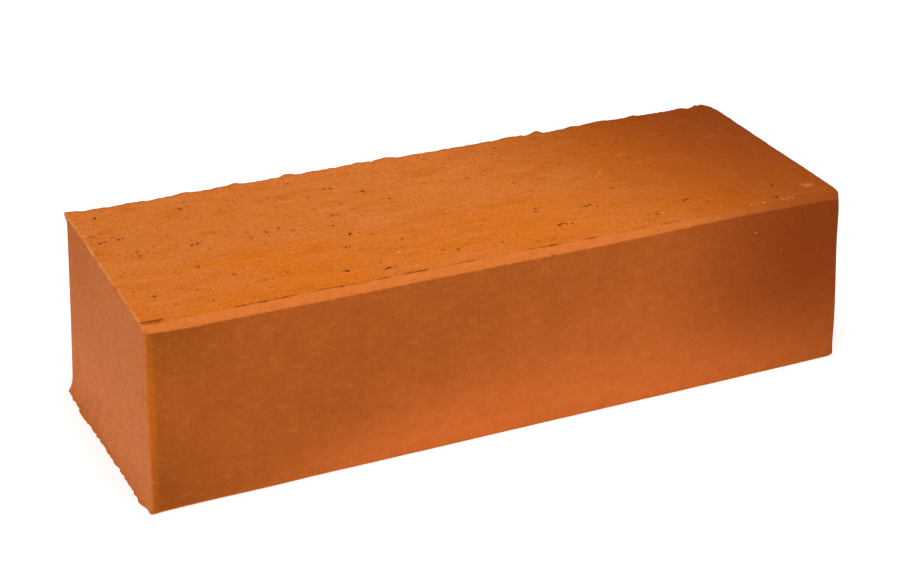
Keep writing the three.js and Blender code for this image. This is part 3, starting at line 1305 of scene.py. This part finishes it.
def floor_paint():
    """A white surface lit a little from below, like a light table."""
    n = Nodes("studio_floor")
    n.shader.inputs["Base Color"].default_value = FLOOR_COLOUR
    n.shader.inputs["Roughness"].default_value = FLOOR_ROUGHNESS
    n.shader.inputs["Specular IOR Level"].default_value = FLOOR_SPECULAR
    n.shader.inputs["Emission Color"].default_value = WHITE
    n.shader.inputs["Emission Strength"].default_value = FLOOR_GLOW
    return n.material


# ---------- camera, floor and light

# Metres and degrees; the camera turns right from +Y, then down, then rolls
CAMERA_PLACE = (-0.2841, -0.5634, 0.3606)
CAMERA_HEADING = 26.53
CAMERA_DOWN = 27.23
CAMERA_ROLL = 1.63
CAMERA_LENS = 82.5

FLOOR_HALF = 3.0
# The floor lies just under the brick, so that the two surfaces don't meet
FLOOR_DROP = 0.0001
# Brightness of the room at the height of the floor, overhead, and how much brighter its left side is
WORLD_HORIZON = 0.85
WORLD_ZENITH = 0.22
WORLD_LEFT = 0.9
# How far up the direction to the zenith its brightness is reached
ZENITH_REACH = 0.8
KEY_PLACE = (-0.02, -0.12, 0.56)
KEY_SIZE = 0.36
KEY_WATTS = 2.45


def make_camera():
    """The camera, a little above and to the left of the brick."""
    data = bpy.data.cameras.new("camera")
    data.lens = CAMERA_LENS
    camera = bpy.data.objects.new("camera", data)
    bpy.context.scene.collection.objects.link(camera)
    heading = Matrix.Rotation(math.radians(-CAMERA_HEADING), 4, "Z")
    down = Matrix.Rotation(math.radians(90 - CAMERA_DOWN), 4, "X")
    roll = Matrix.Rotation(math.radians(CAMERA_ROLL), 4, "Z")
    camera.matrix_world = Matrix.Translation(CAMERA_PLACE) @ heading @ down @ roll
    bpy.context.scene.camera = camera


def make_floor():
    """The plain pale floor."""
    half = FLOOR_HALF
    mesh = bpy.data.meshes.new("studio_floor")
    corners = [(-half, -half, 0), (half, -half, 0), (half, half, 0), (-half, half, 0)]
    mesh.from_pydata(corners, [], [(0, 1, 2, 3)])
    mesh.materials.append(floor_paint())
    floor = bpy.data.objects.new("studio_floor", mesh)
    floor.location.z = -FLOOR_DROP
    bpy.context.scene.collection.objects.link(floor)


def make_key():
    """One square soft light above the brick, turned towards its middle."""
    data = bpy.data.lights.new("key", "AREA")
    data.size = KEY_SIZE
    data.energy = KEY_WATTS
    light = bpy.data.objects.new("key", data)
    light.location = KEY_PLACE
    middle = (Vector(brick_low) + Vector(brick_high)) / 2
    light.rotation_euler = (middle - Vector(KEY_PLACE)).to_track_quat("-Z", "Y").to_euler()
    bpy.context.scene.collection.objects.link(light)


def make_room():
    """A pale room all round: brightest low down and on the left."""
    scene = bpy.context.scene
    scene.view_settings.view_transform = "Standard"
    scene.world = bpy.data.worlds.new("studio")
    scene.world.use_nodes = True
    tree = scene.world.node_tree
    direction = tree.nodes.new("ShaderNodeTexCoord")
    parts = tree.nodes.new("ShaderNodeSeparateXYZ")
    tree.links.new(direction.outputs["Generated"], parts.inputs["Vector"])

    def graded(axis, reach, start, end):
        """A value that goes smoothly from start to end as the direction turns to the axis."""
        node = tree.nodes.new("ShaderNodeMapRange")
        node.interpolation_type = "SMOOTHSTEP"
        for name, number in (("From Max", reach), ("To Min", start), ("To Max", end)):
            node.inputs[name].default_value = number
        tree.links.new(parts.outputs[axis], node.inputs["Value"])
        return node.outputs["Result"]

    total = tree.nodes.new("ShaderNodeMath")
    tree.links.new(graded("Z", ZENITH_REACH, WORLD_HORIZON, WORLD_ZENITH), total.inputs[0])
    tree.links.new(graded("X", -1.0, 0.0, WORLD_LEFT), total.inputs[1])
    background = tree.nodes["Background"]
    background.inputs["Color"].default_value = WHITE
    tree.links.new(total.outputs[0], background.inputs["Strength"])


make_camera()
make_floor()
make_key()
make_room()
make_brick(fired_clay())
make_grains(pale_sand())
